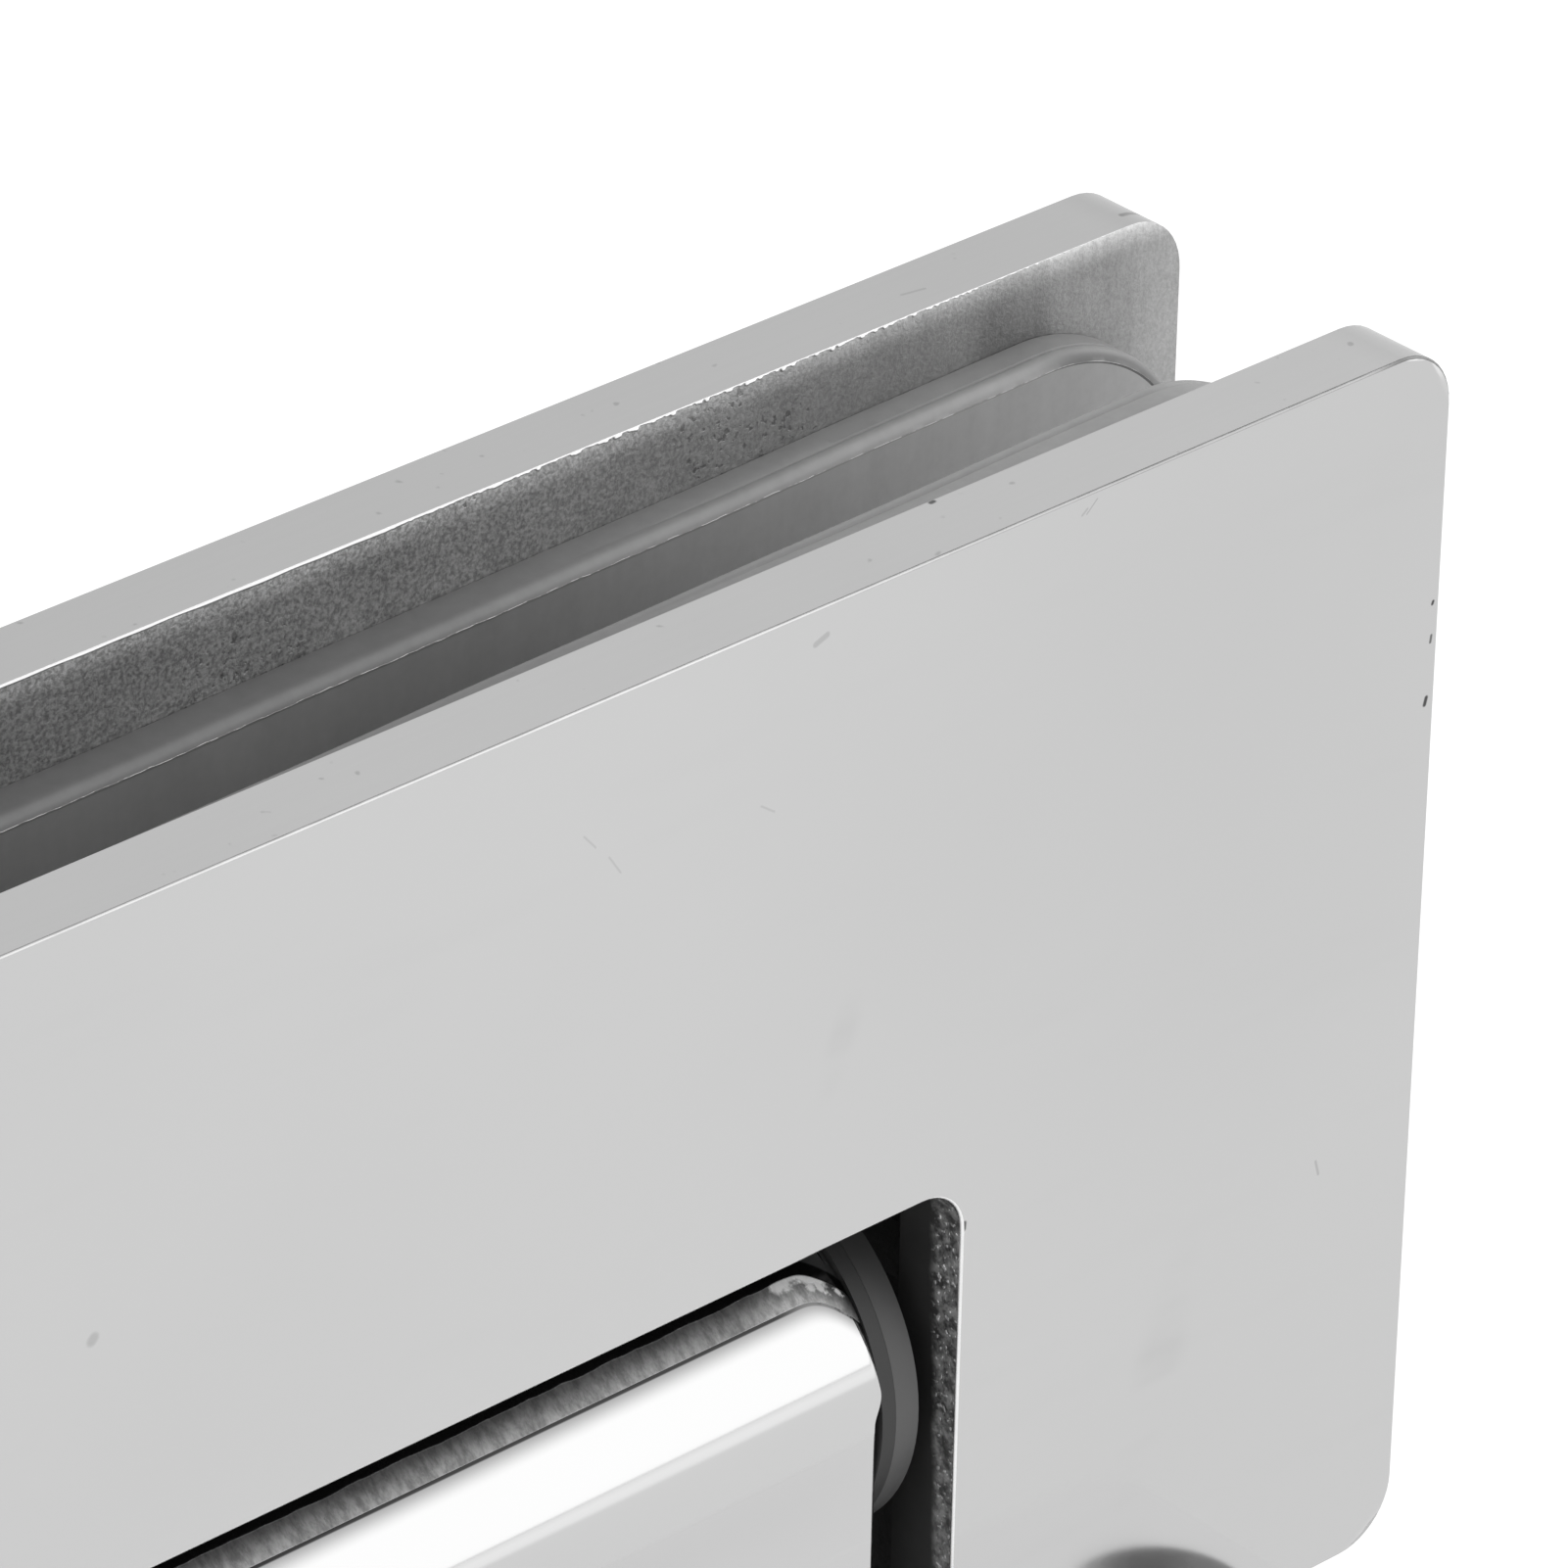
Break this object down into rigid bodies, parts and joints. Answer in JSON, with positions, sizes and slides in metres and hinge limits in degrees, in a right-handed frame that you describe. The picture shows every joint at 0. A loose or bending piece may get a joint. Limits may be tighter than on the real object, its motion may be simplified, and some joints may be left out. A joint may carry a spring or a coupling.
{
  "type": "glass door hinge",
  "caption": "Wall-to-glass door hinge: two polished notched clamp plates with rubber gaskets swing on a pin through a round-headed knuckle that stands on a screw-on wall plate.",
  "frame": {"origin": "middle of the wall plate's wall side", "axes": "+X along the pivot, to the right seen from the front; -Y the front of the clamp; +Z away from the wall, along the closed glass door"},
  "size_m": [0.102, 0.05, 0.0663],
  "materials": {
    "polished_plate": "mirror polished, rough cast inside",
    "polished_wall_plate": "mirror polished",
    "polished_knuckle": "mirror polished",
    "gasket_rubber": "smooth grey moulded sheet with a mould flash",
    "bush_plastic": "dark moulded bearing plastic",
    "washer_plastic": "grey moulded bearing plastic",
    "pin_steel": "ground",
    "spring_steel": "bright drawn wire",
    "screw_steel": "plain stainless"
  },
  "bodies": {
    "wall_side": {"wall_plate": "polished_wall_plate", "knuckle": "polished_knuckle", "bush_left": "bush_plastic", "bush_right": "bush_plastic", "knuckle_screw_left": "screw_steel", "knuckle_screw_right": "screw_steel", "detent_spring_left": "spring_steel", "detent_spring_right": "spring_steel"},
    "detent": {"detent_bar": "pin_steel"},
    "glass_clamp": {"front_plate": "polished_plate", "back_plate": "polished_plate", "front_gasket": "gasket_rubber", "back_gasket": "gasket_rubber", "pivot_pin": "pin_steel", "thrust_washer_left": "washer_plastic", "thrust_washer_right": "washer_plastic", "pin_screw_left": "screw_steel", "pin_screw_right": "screw_steel", "clamp_screw_lower_left": "screw_steel", "clamp_screw_upper_left": "screw_steel", "clamp_screw_lower_right": "screw_steel", "clamp_screw_upper_right": "screw_steel"}
  },
  "joints": [
    {"name": "door_swing", "type": "hinge", "parent": "wall_side", "child": "glass_clamp", "pos_m": [0, 0, 0.0255], "axis": [1, 0, 0], "range_deg": [-90, 90]},
    {"name": "detent_press", "type": "slide", "parent": "wall_side", "child": "detent", "axis": [0, 0, 1], "range_m": [-0.002, 0], "stiffness_N_per_m": 2000, "deforming": ["detent_spring_left", "detent_spring_right"]}
  ]
}
